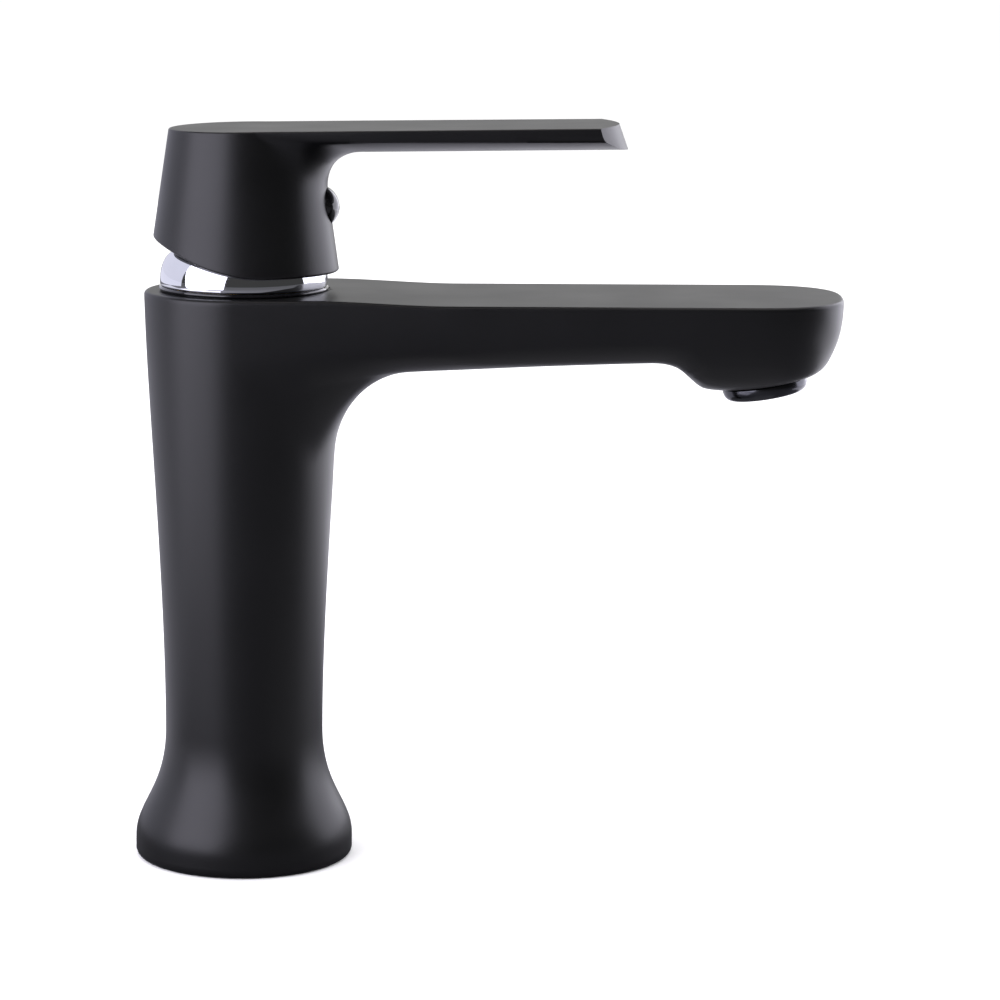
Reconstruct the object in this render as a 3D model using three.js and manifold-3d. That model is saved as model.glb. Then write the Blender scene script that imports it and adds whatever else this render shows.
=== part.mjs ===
// Single-lever basin mixer: a flared column with a flat spout in one casting, a ceramic
// cartridge inside it, a chrome cover ring, and a hood-shaped handle with a flat lever.
// Millimetres, +Z up. The origin is the centre of the foot on the basin deck, and +X points
// along the spout.
import * as THREE from 'three';
import { mergeVertices } from 'three/addons/utils/BufferGeometryUtils.js';
import Module from 'manifold-3d';

const wasm = await Module();
wasm.setup();

// ---------------------------------------------------------------- driving dimensions
const ROUND = 36; // sides of a full turn on large round parts
const SMALL_ROUND = 16; // sides of a full turn on small round parts
const GAP = 0.3; // clearance left between neighbouring pieces
const DEG = Math.PI / 180;

const FOOT_R = 26.15; // widest part of the foot
const FOOT_BAND_Z = 4.5; // top of the upright band round the foot
const WAIST_R = 18.9; // slimmest part of the column
const WAIST_Z = 31;
const TOP_R = 23.6; // column radius at its top rim
const TOP_Z = 136.2; // top of the casting at the column's axis
const TOP_SLOPE = 0.0104; // the top rises this gently towards the spout's tip
const TOP_LIFT = 1.1; // the column's part of the top stands this much above the spout's
const LIFT_END = [18, 50]; // where the top begins and ends to come down
const TRIM_Z = 150; // spare height above the top, trimmed away
const PAD_R = 20.4; // seat of the cover ring
const PAD_Z = 137.3;

const SPOUT_HALF_WIDTH = 23.5;
const TIP_X = 118.1; // centre of the spout's round end
const ROOT_X = 41.2; // start of the spout's underside, past its rounded root
const ROOT_Z = 120.4;
const UNDER_X = 96.3; // end of the underside, where the nose begins
const UNDER_Z = 123.9;
const TIP_SQUARENESS = 2.6; // 2 would be a half circle
const OUTLET_X = 123.6; // middle of the outlet
const OUTLET_Z = 116.2;
const OUTLET_TILT = 10 * DEG; // the outlet aims slightly forward
const NOSE_LIFT = 1; // the nose ends this far above the outlet's middle

const BORE_R = 19; // cartridge chamber
const SEAT_Z = 101; // floor of the cartridge chamber
const PORT_X = -6.5; // hot and cold ports stand behind the axis
const PORT_Y = 8;
const RISER_R = 4;
const PORT_R = 5.2; // tapped end of each riser
const PORT_DEPTH = 12;
const STUD_X = 9.5; // blind hole for the fixing stud
const STUD_R = 4;
const STUD_DEPTH = 20;
const GROOVE = { inner: 20, outer: 23.4, depth: 2.2 };

const PIVOT_Z = 134; // height of the lever pin
const LEAN = 12.5 * DEG; // the spindle leans forward when the tap is shut
const ARM = 11.5; // pin to the ball at the spindle's foot
const DISC_X = -ARM * Math.sin(LEAN); // shut position of the moving disc

const HUB_BOTTOM_R = 22.5;
const HUB_TOP_R = 17.6;
const HUB_RIM_Z = 142; // lower rim at the front
const HUB_TOP_Z = 175.6;
const HUB_WALL = 2.2;
const HUB_CEILING_Z = 169;
const RIM_FRONT_X = 8; // behind this the rim climbs in a curve, to clear the body when lifted
const RIM_BACK_X = -12; // and from here on straight
const RIM_CLIMB = 0.4;
const LEVER_TIP_X = 89;
const LEVER_TIP_HALF_WIDTH = 16;
const LEVER_SHOULDER_X = 82.5;
const LEVER_THICKNESS = 4.9;
const LEVER_RISE = 1.3 * DEG;

const PLUG_Z = 157.5; // centre of the index plug on the hub's front
const PLUG_R = 4.4;
const PLUG_BULGE = 2.5;
const SCREW_R = 2.5;
const SCREW_LENGTH = 6.5;

const COLLAR_R = 10; // the aerator's collar, just below the nose

// ---------------------------------------------------------------- materials
const finish = (color, roughness, metalness) =>
  new THREE.MeshStandardMaterial({ color, roughness, metalness });
const MATTE_BLACK = finish(0x1c1c1f, 0.48, 0.0);
const GLOSS_BLACK = finish(0x08080a, 0.08, 0.0);
const CHROME = finish(0xdfe1e6, 0.06, 1.0);
const DARK_CHROME = finish(0x4c4e55, 0.2, 1.0);
const BRASS = finish(0xb58e4c, 0.35, 1.0);
const STEEL = finish(0xa9acb0, 0.3, 1.0);
const RUBBER = finish(0x141414, 0.8, 0.0);
const CERAMIC = finish(0xece8df, 0.25, 0.0);
const WHITE_PLASTIC = finish(0xe4e4e0, 0.45, 0.0);
const GREY_PLASTIC = finish(0x8b9096, 0.5, 0.0);
const BLUE_PLASTIC = finish(0x3b5f94, 0.5, 0.0);

// ---------------------------------------------------------------- solids
// A closed geometry as a solid, with shared points merged and slivers dropped.
function solid(geometry) {
  const bare = geometry.clone();
  bare.deleteAttribute('normal');
  bare.deleteAttribute('uv');
  const welded = mergeVertices(bare, 1e-4);
  const index = welded.index.array;
  const position = welded.attributes.position;
  const corner = [0, 1, 2].map(() => new THREE.Vector3());
  const triangles = [];
  let volume = 0;
  for (let i = 0; i < index.length; i += 3) {
    const [a, b, c] = [index[i], index[i + 1], index[i + 2]];
    if (a === b || b === c || c === a) continue;
    triangles.push(a, b, c);
    [a, b, c].forEach((vertex, k) => corner[k].fromBufferAttribute(position, vertex));
    volume += corner[0].dot(corner[1].cross(corner[2]));
  }
  if (volume < 0) triangles.reverse();
  return new wasm.Manifold(new wasm.Mesh({
    numProp: 3,
    vertProperties: new Float32Array(position.array),
    triVerts: new Uint32Array(triangles),
  }));
}

function geometryOf(manifold) {
  const { vertProperties, triVerts } = manifold.getMesh();
  const geometry = new THREE.BufferGeometry();
  geometry.setAttribute('position', new THREE.BufferAttribute(vertProperties, 3));
  geometry.setIndex(new THREE.BufferAttribute(triVerts, 1));
  geometry.computeVertexNormals();
  return geometry;
}

const union = (...parts) => parts.reduce((all, part) => all.add(part));

function cut(base, ...tools) {
  return tools.reduce((rest, tool) => rest.subtract(tool), base);
}

// A profile of [radius, height] points turned about Z.
function turned(profile, sides = ROUND) {
  const points = profile.map(([radius, height]) => new THREE.Vector2(radius, height));
  return new THREE.LatheGeometry(points, sides).rotateX(Math.PI / 2);
}

const disc = (radius, z0, z1, sides = ROUND) =>
  turned([[0, z0], [radius, z0], [radius, z1], [0, z1]], sides);

const ring = (inner, outer, z0, z1, sides = ROUND) =>
  turned([[inner, z0], [outer, z0], [outer, z1], [inner, z1], [inner, z0]], sides);

// A round bar between two heights, moved sideways.
const post = (radius, z0, z1, x, y, sides = SMALL_ROUND) =>
  disc(radius, z0, z1, sides).translate(x, y, 0);

function block(x0, x1, y0, y1, z0, z1) {
  return new THREE.BoxGeometry(x1 - x0, y1 - y0, z1 - z0)
    .translate((x0 + x1) / 2, (y0 + y1) / 2, (z0 + z1) / 2);
}

// An outline in the XZ plane, extruded the same distance to both sides of it.
function sideways(shape, halfWidth, bevel = 0) {
  return new THREE.ExtrudeGeometry(shape, {
    depth: 2 * (halfWidth - bevel),
    curveSegments: 8,
    bevelEnabled: bevel > 0,
    bevelThickness: bevel,
    bevelSize: bevel,
    bevelOffset: -bevel,
    bevelSegments: 4,
  }).translate(0, 0, bevel - halfWidth).rotateX(Math.PI / 2);
}

function bezierPoints(start, control1, control2, end, steps) {
  const vectors = [start, control1, control2, end].map(([x, y]) => new THREE.Vector2(x, y));
  return new THREE.CubicBezierCurve(...vectors).getPoints(steps).map((p) => [p.x, p.y]);
}

// A piece modelled along +Z, laid along the line that leans forward by an angle.
const leaned = (geometry, angle, x, z) => geometry.rotateY(angle).translate(x, 0, z);

// ---------------------------------------------------------------- body casting
function columnProfile() {
  const flare = bezierPoints(
    [FOOT_R, FOOT_BAND_Z], [FOOT_R, 12], [WAIST_R, 16], [WAIST_R, WAIST_Z], 9);
  const shaft = bezierPoints(
    [WAIST_R, WAIST_Z], [WAIST_R, 66], [22.9, 110], [TOP_R, TOP_Z], 8);
  return [
    [0, 0], [FOOT_R - 1.2, 0], [FOOT_R - 0.35, 0.5], [FOOT_R, 1.6],
    ...flare, ...shaft.slice(1), [TOP_R, TRIM_Z], [0, TRIM_Z],
  ];
}

// Half-width of the spout against height: upright at the top, tucked under below.
function wallProfile() {
  return [
    [14.4, 117.2], [17.3, 119.2], [19.6, 121.9], [21.4, 125.4], [22.7, 129.3],
    [23.3, 133.1], [SPOUT_HALF_WIDTH, 137], [SPOUT_HALF_WIDTH, TRIM_Z],
  ];
}

// Rounded corner in front of a round stem: level rings of one half-width, each with its front
// half stretched forward to the curve's reach at that height.
function frontFillet(curve, halfWidth) {
  const rings = curve.map(([, z]) => [halfWidth, z]);
  const geometry = turned([[0, rings[0][1]], ...rings, [0, rings.at(-1)[1]]]);
  const position = geometry.attributes.position;
  for (let i = 0; i < position.count; i += 1) {
    const x = position.getX(i);
    const level = curve.find(([, z]) => Math.abs(z - position.getZ(i)) < 1e-3);
    if (x > 0 && level) position.setX(i, (x * level[0]) / halfWidth);
  }
  return solid(geometry);
}

const spoutRoot = () => frontFillet(
  bezierPoints([22.1, 100.5], [22.9, 109], [30.2, 119.2], [ROOT_X, ROOT_Z], 8), 21.7);

function spoutUnderside() {
  const outletSlope = Math.tan(OUTLET_TILT);
  const outletZ = (x) => OUTLET_Z + NOSE_LIFT + (x - OUTLET_X) * outletSlope;
  const shape = new THREE.Shape();
  shape.moveTo(0, ROOT_Z - 2);
  shape.lineTo(ROOT_X, ROOT_Z);
  shape.quadraticCurveTo(68.3, 122.6, UNDER_X, UNDER_Z);
  shape.bezierCurveTo(104.3, 124.2, 104.9, 118, 109.7, outletZ(109.7) + 1.1);
  shape.quadraticCurveTo(111.2, outletZ(111.2) - 0.1, 113.2, outletZ(113.2));
  shape.lineTo(150, outletZ(150));
  shape.lineTo(150, 160);
  shape.lineTo(0, 160);
  return shape;
}

// Everything above the casting's gently rising top, which comes down a little to the spout.
function aboveTop() {
  const top = (x) => TOP_Z + x * TOP_SLOPE;
  const [start, end] = LIFT_END;
  const third = (end - start) / 3;
  const shape = new THREE.Shape();
  shape.moveTo(-30, top(-30) + TOP_LIFT);
  shape.lineTo(start, top(start) + TOP_LIFT);
  shape.bezierCurveTo(start + third, top(start + third) + TOP_LIFT, end - third, top(end - third),
    end, top(end));
  shape.lineTo(160, top(160));
  shape.lineTo(160, TRIM_Z + 20);
  shape.lineTo(-30, TRIM_Z + 20);
  return sideways(shape, 30);
}

// A turned shape whose front half is drawn out towards a square, with its width unchanged.
function squaredOff(geometry) {
  const position = geometry.attributes.position;
  for (let i = 0; i < position.count; i += 1) {
    const [x, y] = [position.getX(i), position.getY(i)];
    const radius = Math.hypot(x, y);
    if (x > 0 && radius > 0) {
      const spread = (x / radius) ** TIP_SQUARENESS + Math.abs(y / radius) ** TIP_SQUARENESS;
      const stretch = spread ** (-1 / TIP_SQUARENESS);
      position.setXY(i, x * stretch, y * stretch);
    }
  }
  return geometry;
}

function spoutSolid() {
  const wall = wallProfile();
  const low = 113;
  const section = new THREE.Shape([
    new THREE.Vector2(-11, low), new THREE.Vector2(11, low),
    ...wall.map(([y, z]) => new THREE.Vector2(y, z)),
    ...[...wall].reverse().map(([y, z]) => new THREE.Vector2(-y, z)),
  ]);
  // drawn as (Y, Z) and extruded along X
  const straight = new THREE.ExtrudeGeometry(section, { depth: TIP_X, bevelEnabled: false })
    .rotateX(Math.PI / 2).rotateZ(Math.PI / 2);
  const tip = squaredOff(turned([[0, low], [11, low], ...wall, [0, wall.at(-1)[1]]]));
  const outline = union(solid(straight), solid(tip.translate(TIP_X, 0, 0)));
  return outline.intersect(solid(sideways(spoutUnderside(), 30)));
}

// The waterway: from the side of the cartridge chamber up into the hollow spout.
function spoutChannel() {
  const shape = new THREE.Shape();
  shape.moveTo(12, 113.5);
  shape.lineTo(22, 114.8);
  shape.quadraticCurveTo(30, 123.6, 44, 124.2);
  shape.lineTo(98, 127.4);
  shape.lineTo(116, 125.5);
  shape.lineTo(130, 127.6);
  shape.lineTo(130, 133.2);
  shape.lineTo(44, 132.4);
  shape.quadraticCurveTo(28, 131.5, 20, 123.5);
  shape.lineTo(12, 123.5);
  return sideways(shape, 14);
}

// A piece modelled upright with its outlet face at zero, put on the tilted outlet.
const onOutlet = (geometry) => leaned(geometry, -OUTLET_TILT, OUTLET_X, OUTLET_Z);

function bodyCasting() {
  const ports = [PORT_Y, -PORT_Y].flatMap((y) => [
    solid(post(RISER_R, PORT_DEPTH - 1, SEAT_Z + 1, PORT_X, y)),
    solid(post(PORT_R, -1, PORT_DEPTH, PORT_X, y)),
  ]);
  const grown = union(solid(turned(columnProfile())), spoutSolid(), spoutRoot());
  const skin = cut(grown, solid(aboveTop()));
  return cut(
    skin,
    solid(disc(BORE_R, SEAT_Z, PAD_Z + 5)),
    solid(disc(PAD_R, PAD_Z, PAD_Z + 5)),
    solid(spoutChannel()),
    solid(onOutlet(disc(8.6, -3, 12))),
    solid(post(STUD_R, -1, STUD_DEPTH, STUD_X, 0)),
    solid(ring(GROOVE.inner, GROOVE.outer, -1, GROOVE.depth)),
    ...ports,
  );
}

// ---------------------------------------------------------------- seals
const baseGasket = () => solid(ring(GROOVE.inner + GAP, GROOVE.outer - GAP, 0, GROOVE.depth - GAP));

const inletSeal = (y) =>
  solid(ring(3.1, 5.2, SEAT_Z + GAP, SEAT_Z + 2, SMALL_ROUND).translate(PORT_X, y, 0));

const ringGasket = () =>
  solid(turned([[19, 137.6], [19.9, 137.6], [20.1, 137.85], [19.9, 138.1], [19, 138.1], [19, 137.6]]));

const cartridgeSeal = () =>
  solid(turned([[17.4, 126.4], [18.3, 126.4], [18.7, 127.2], [18.3, 128], [17.4, 128], [17.4, 126.4]]));

// ---------------------------------------------------------------- cartridge
function cartridgeBase() {
  const feet = [PORT_Y, -PORT_Y].map((y) => solid(post(5.2, SEAT_Z + 2.3, 109, PORT_X, y)));
  const holes = [PORT_Y, -PORT_Y].map((y) => solid(post(3.1, SEAT_Z, 113, PORT_X, y)));
  const outlet = solid(post(4.2, 107, 113, 8.5, 0));
  return cut(union(solid(disc(17.2, 108.3, 111.7)), ...feet), ...holes, outlet);
}

function fixedDisc() {
  const holes = [[PORT_X, PORT_Y], [PORT_X, -PORT_Y], [7.5, 0]]
    .map(([x, y]) => solid(post(3, 111, 116, x, y)));
  return cut(solid(disc(14.9, 112, 115)), ...holes);
}

// The moving disc is hollowed underneath, where hot and cold water mix.
function movingDisc() {
  return cut(
    solid(disc(11.4, 115.3, 118.3).translate(DISC_X, 0, 0)),
    solid(disc(8, 114, 116.8).translate(DISC_X + 1, 0, 0)),
  );
}

function discCarrier() {
  return cut(
    solid(disc(12.2, 118.6, 124.1).translate(DISC_X, 0, 0)),
    solid(post(3.5, 119.1, 125, DISC_X, 0)),
    solid(ring(9.6, 20, 121.4, 125).translate(DISC_X, 0, 0)),
  );
}

function cartridgeHousing() {
  return solid(turned([
    [15.6, 112], [17.3, 112], [17.3, 124.5], [18.6, 124.5], [18.6, 126.1], [17.1, 126.1],
    [17.1, 128.3], [18.6, 128.3], [18.6, 130], [12.4, 130], [12.4, 143], [10.9, 143],
    [10.9, 127.1], [15.6, 127.1], [15.6, 112],
  ]));
}

const clampNut = () => cut(
  union(
    solid(disc(18.5, 130.3, 136.9)),
    solid(disc(17, 136, 142.4, 6)),
  ),
  solid(disc(12.9, 129, 144)),
);

const stopRing = () => solid(ring(11.2, 12.6, 143.3, 144.4));

function turningSleeve() {
  const slot = solid(block(-7.2, 7.2, -4.9, 4.9, 120, 150));
  const pinHole = solid(leaned(disc(1.8, -12, 12, SMALL_ROUND).rotateX(Math.PI / 2), 0, 0, PIVOT_Z));
  return cut(
    union(solid(disc(15.2, 124.5, 126.8)), solid(disc(10.5, 126, 146))),
    slot, pinHole,
  );
}

const leverPin = () => solid(disc(1.5, -10, 10, SMALL_ROUND).rotateX(Math.PI / 2).translate(0, 0, PIVOT_Z));

// Square bar with a ball foot, drilled for the lever pin, leaning forward.
function spindle() {
  const bar = solid(block(-4.2, 4.2, -4.5, 4.5, -3.5, 30));
  const stem = solid(disc(2.2, -ARM, -3, SMALL_ROUND));
  const ball = solid(new THREE.SphereGeometry(3, 12, 8).rotateX(Math.PI / 2).translate(0, 0, -ARM));
  const eye = solid(disc(1.8, -9, 9, SMALL_ROUND).rotateX(Math.PI / 2));
  const upright = cut(union(bar, stem, ball), eye);
  return solid(leaned(geometryOf(upright), LEAN, 0, PIVOT_Z));
}

// ---------------------------------------------------------------- cover ring
function coverRing() {
  const dome = bezierPoints([19.8, 139.4], [19.6, 143.8], [18.2, 146.4], [14.4, 147.3], 5);
  const inside = bezierPoints([13.6, 145.9], [16.9, 145.4], [18.3, 143.2], [18.5, 139.4], 4);
  return solid(turned([
    [18.5, 138.4], [19.8, 138.4], ...dome, [13.6, 147.3], ...inside, [18.5, 138.4],
  ]));
}

// ---------------------------------------------------------------- handle
const hubSlope = (HUB_BOTTOM_R - HUB_TOP_R) / (HUB_TOP_Z - HUB_RIM_Z);
const hubRadius = (z) => HUB_TOP_R + hubSlope * (HUB_TOP_Z - z);
const PLUG_TILT = Math.PI / 2 - Math.atan(hubSlope); // from upright to the hub's surface normal

// A piece modelled along +Z with the hub's skin at zero, put on the plug's axis.
const onPlug = (geometry) => leaned(geometry, PLUG_TILT, hubRadius(PLUG_Z), PLUG_Z);

function leverPlan() {
  const shape = new THREE.Shape();
  shape.absarc(0, 0, HUB_TOP_R, Math.PI / 2, 1.5 * Math.PI, false);
  shape.lineTo(LEVER_SHOULDER_X, -LEVER_TIP_HALF_WIDTH);
  shape.quadraticCurveTo(2 * LEVER_TIP_X - LEVER_SHOULDER_X, 0,
    LEVER_SHOULDER_X, LEVER_TIP_HALF_WIDTH);
  return shape;
}

function leverPlate() {
  const plate = new THREE.ExtrudeGeometry(leverPlan(), {
    depth: LEVER_THICKNESS, curveSegments: 16, bevelEnabled: false,
  }).translate(0, 0, -LEVER_THICKNESS);
  return solid(leaned(plate, -LEVER_RISE, 0, HUB_TOP_Z));
}

// Rounded corner between the hub's front and the underside of the lever.
const leverRoot = () => frontFillet(
  bezierPoints([19.4, 162], [19.2, 167.5], [21.5, 171.1], [28, 171.4], 6), 17.3);

function handle() {
  const hub = solid(turned([
    [0, HUB_RIM_Z], [HUB_BOTTOM_R, HUB_RIM_Z], [HUB_TOP_R - 0.2, HUB_TOP_Z - 2], [0, HUB_TOP_Z - 2],
  ]));
  const hollow = solid(turned([
    [0, HUB_RIM_Z - 2], [hubRadius(HUB_RIM_Z - 2) - HUB_WALL, HUB_RIM_Z - 2],
    [hubRadius(HUB_CEILING_Z) - HUB_WALL, HUB_CEILING_Z], [0, HUB_CEILING_Z],
  ]));
  const boss = solid(leaned(disc(7.6, 17.5, 35, SMALL_ROUND), LEAN, 0, PIVOT_Z));
  const rib = solid(block(8, 18.4, -4, 4, PLUG_Z - 5, HUB_CEILING_Z + 1));
  const socket = solid(leaned(block(-4.5, 4.5, -4.8, 4.8, 10, 30.4), LEAN, 0, PIVOT_Z));
  const middle = (RIM_FRONT_X + RIM_BACK_X) / 2;
  const climb = new THREE.Shape();
  climb.moveTo(RIM_FRONT_X, HUB_RIM_Z);
  climb.quadraticCurveTo(middle, HUB_RIM_Z, RIM_BACK_X, HUB_RIM_Z + (middle - RIM_BACK_X) * RIM_CLIMB);
  climb.lineTo(-30, HUB_RIM_Z + (middle + 30) * RIM_CLIMB);
  climb.lineTo(-30, HUB_RIM_Z - 5);
  climb.lineTo(RIM_FRONT_X, HUB_RIM_Z - 5);
  return cut(
    union(cut(union(hub, leverRoot(), leverPlate()), hollow), boss.add(rib)),
    socket,
    solid(sideways(climb, 30)),
    solid(onPlug(disc(SCREW_R + GAP, -16, 1, SMALL_ROUND))),
    solid(onPlug(disc(PLUG_R + GAP, -3, 4, SMALL_ROUND))),
  );
}

function grubScrew() {
  const top = -2.6 - GAP;
  return cut(
    solid(onPlug(disc(SCREW_R, top - SCREW_LENGTH, top, SMALL_ROUND))),
    solid(onPlug(disc(1.45, top - 3, top + 1, 6))),
  );
}

function indexPlug() {
  const dome = bezierPoints(
    [PLUG_R, 0], [PLUG_R - 0.8, 1.3], [2.1, PLUG_BULGE], [0, PLUG_BULGE], 6);
  return solid(onPlug(turned([
    [0, -2.6], [PLUG_R - 0.9, -2.6], [PLUG_R - 0.9, -0.4], [PLUG_R, -0.4], ...dome,
  ], SMALL_ROUND)));
}

// ---------------------------------------------------------------- aerator
const aeratorHousing = () => solid(onOutlet(turned([
  [7.1, -1.9], [8.9, -2.3], [9.6, -1.9], [COLLAR_R, -1.2], [COLLAR_R, NOSE_LIFT - GAP],
  [8.2, NOSE_LIFT - GAP], [8.2, 7.4], [7.1, 7.4], [7.1, -1.9],
])));

function aeratorInsert() {
  const holes = [[0, 0], ...[0, 1, 2, 3, 4, 5].map((k) => [4.3, k * 60 * DEG])]
    .map(([r, a]) => solid(onOutlet(post(1.5, -3, 8, r * Math.cos(a), r * Math.sin(a), 12))));
  return cut(solid(onOutlet(disc(6.8, -0.6, 5, SMALL_ROUND))), ...holes);
}

const aeratorScreen = () => cut(
  solid(onOutlet(disc(6.8, 5.3, 6.3, SMALL_ROUND))),
  ...[0, 1, 2, 3].map((k) => solid(onOutlet(
    post(1.6, 5, 7, 3.6 * Math.cos(k * 90 * DEG), 3.6 * Math.sin(k * 90 * DEG), 12)))),
);

const aeratorWasher = () => solid(onOutlet(ring(6, 8.2, 7.7, 9.2, SMALL_ROUND)));

// ---------------------------------------------------------------- assembly
const faucet = new THREE.Group();

function place(name, manifold, material, group = faucet) {
  const mesh = new THREE.Mesh(geometryOf(manifold), material);
  mesh.name = name;
  group.add(mesh);
}

place('body_casting', bodyCasting(), MATTE_BLACK);
place('base_gasket', baseGasket(), RUBBER);
place('hot_inlet_seal', inletSeal(PORT_Y), RUBBER);
place('cold_inlet_seal', inletSeal(-PORT_Y), RUBBER);
place('cartridge_base', cartridgeBase(), BLUE_PLASTIC);
place('fixed_disc', fixedDisc(), CERAMIC);
place('moving_disc', movingDisc(), CERAMIC);
place('disc_carrier', discCarrier(), WHITE_PLASTIC);
place('cartridge_housing', cartridgeHousing(), WHITE_PLASTIC);
place('cartridge_seal', cartridgeSeal(), RUBBER);
place('turning_sleeve', turningSleeve(), GREY_PLASTIC);
place('temperature_stop_ring', stopRing(), BLUE_PLASTIC);
place('lever_pin', leverPin(), STEEL);
place('spindle', spindle(), BRASS);
place('clamp_nut', clampNut(), BRASS);
place('ring_gasket', ringGasket(), GLOSS_BLACK);
place('cover_ring', coverRing(), CHROME);
place('handle', handle(), MATTE_BLACK);
place('grub_screw', grubScrew(), STEEL);
place('index_plug', indexPlug(), GLOSS_BLACK);
place('aerator_housing', aeratorHousing(), DARK_CHROME);
place('aerator_insert', aeratorInsert(), GREY_PLASTIC);
place('aerator_screen', aeratorScreen(), STEEL);
place('aerator_washer', aeratorWasher(), RUBBER);

export default faucet;
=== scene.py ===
# %% [markdown]
# # A single-lever basin mixer
#
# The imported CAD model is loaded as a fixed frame: it says where every part is and what moves.
# This script gives those parts their real surface. The pieces that can be seen are modelled
# again, finely, in the places that the frame gives them. The parts sealed inside keep their CAD
# meshes and get a finish of their own.

import math

import bmesh
import bpy
import numpy as np
from mathutils import Matrix, Vector


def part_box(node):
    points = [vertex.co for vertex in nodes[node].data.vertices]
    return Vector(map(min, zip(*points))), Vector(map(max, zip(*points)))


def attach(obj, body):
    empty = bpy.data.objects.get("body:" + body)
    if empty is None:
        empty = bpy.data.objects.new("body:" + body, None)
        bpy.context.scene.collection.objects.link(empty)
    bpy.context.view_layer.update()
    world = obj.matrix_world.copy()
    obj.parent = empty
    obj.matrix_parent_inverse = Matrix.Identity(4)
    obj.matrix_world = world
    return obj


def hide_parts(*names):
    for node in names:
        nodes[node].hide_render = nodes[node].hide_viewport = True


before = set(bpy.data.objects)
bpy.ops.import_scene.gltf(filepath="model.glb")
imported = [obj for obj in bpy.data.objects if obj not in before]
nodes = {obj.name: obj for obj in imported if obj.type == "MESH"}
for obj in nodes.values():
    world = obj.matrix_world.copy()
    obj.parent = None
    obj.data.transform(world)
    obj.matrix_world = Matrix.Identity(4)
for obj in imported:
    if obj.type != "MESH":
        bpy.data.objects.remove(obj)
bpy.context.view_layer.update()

# %% [markdown]
# ## Millimetres in, metres out
#
# A tap is drawn in millimetres, and the frame is in metres. Every new piece is modelled in
# millimetres and made a thousand times smaller when it is finished, so the numbers below are the
# ones that a drawing would have. Its object stays at the origin, and its place is in its mesh.

# %% Small helpers for pieces
MM = 0.001
TURN = 2 * math.pi
scene = bpy.context.scene


def new_object(name, bm):
    mesh = bpy.data.meshes.new(name)
    bm.to_mesh(mesh)
    bm.free()
    piece = bpy.data.objects.new(name, mesh)
    scene.collection.objects.link(piece)
    return piece


def bake_modifiers(piece):
    """The mesh that the modifiers make becomes the piece's own."""
    bpy.context.view_layer.update()
    seen = piece.evaluated_get(bpy.context.evaluated_depsgraph_get())
    mesh = bpy.data.meshes.new_from_object(seen)
    old = piece.data
    piece.modifiers.clear()
    piece.data = mesh
    bpy.data.meshes.remove(old)


def carve(piece, operation, *tools):
    """Cuts tools out of a piece, or joins them to it, and throws the tools away."""
    for tool in tools:
        boolean = piece.modifiers.new(tool.name, "BOOLEAN")
        boolean.operation = operation
        boolean.solver = "MANIFOLD"
        boolean.object = tool
    bake_modifiers(piece)
    for tool in tools:
        bpy.data.objects.remove(tool)


def finish_piece(piece, sharp=32):
    """Shades a piece smooth except over its edges, and makes it metres."""
    piece.data.transform(Matrix.Scale(MM, 4))
    piece.data.shade_smooth()
    piece.data.set_sharp_from_angle(angle=math.radians(sharp))
    print(piece.name, len(piece.data.polygons), "faces")
    return piece


# %% [markdown]
# ## Curves and turned shapes
#
# Most parts of a tap come off a lathe, so half of their section is drawn and spun about an axis.
# A spin that goes all the way round is merged where it meets itself, and its normals are
# recalculated, because a spin can turn a shape inside out.

# %% Curves, spins and slabs
def bezier(start, control_1, control_2, end, steps):
    t = np.linspace(0, 1, steps + 1)[:, None]
    a, b, c, d = (np.array(p, float) for p in (start, control_1, control_2, end))
    return ((1 - t) ** 3 * a + 3 * (1 - t) ** 2 * t * b + 3 * (1 - t) * t ** 2 * c + t ** 3 * d).tolist()


def arc(centre, radius, start, end, steps=6):
    """Points on a circle in a section, with angles in degrees from the outward direction."""
    angles = [math.radians(start + (end - start) * k / steps) for k in range(steps + 1)]
    return [[centre[0] + radius * math.cos(a), centre[1] + radius * math.sin(a)] for a in angles]


def spun(profile, closed, steps=96):
    bm = bmesh.new()
    points = [bm.verts.new((r, 0, z)) for r, z in profile]
    pairs = list(zip(points, points[1:])) + ([(points[-1], points[0])] if closed else [])
    edges = [bm.edges.new(pair) for pair in pairs]
    bmesh.ops.spin(bm, geom=points + edges, cent=(0, 0, 0), axis=(0, 0, 1), angle=TURN,
                   steps=steps, use_merge=True)
    bmesh.ops.remove_doubles(bm, verts=bm.verts, dist=1e-4)
    bmesh.ops.recalc_face_normals(bm, faces=bm.faces)
    return bm


def turned(name, profile, closed=False, steps=96, place=None):
    bm = spun(profile, closed, steps)
    if place:
        bmesh.ops.transform(bm, matrix=place, verts=bm.verts)
    return new_object(name, bm)


def rod(name, radius, z0, z1, place=None, steps=64):
    return turned(name, [[0, z0], [radius, z0], [radius, z1], [0, z1]], steps=steps, place=place)


def slab(name, outline, half_width):
    """A side outline in X and Z, as thick as twice the half width."""
    bm = bmesh.new()
    face = bm.faces.new([bm.verts.new((x, -half_width, z)) for x, z in outline])
    grown = bmesh.ops.extrude_face_region(bm, geom=[face])["geom"]
    moved = [item for item in grown if isinstance(item, bmesh.types.BMVert)]
    bmesh.ops.translate(bm, vec=(0, 2 * half_width, 0), verts=moved)
    bmesh.ops.recalc_face_normals(bm, faces=bm.faces)
    return new_object(name, bm)


def stand_at(x, y, z=0.0):
    return Matrix.Translation((x, y, z))


def lean_at(angle, x, z):
    """Modelled upright at the origin, then leaned towards +X and moved into place."""
    return Matrix.Translation((x, 0, z)) @ Matrix.Rotation(angle, 4, "Y")


# %% [markdown]
# ## The drawing's main sizes
#
# These are the same sizes as the frame's. The frame's own boxes are printed beside them, so that
# a change to the CAD shows here.

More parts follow.
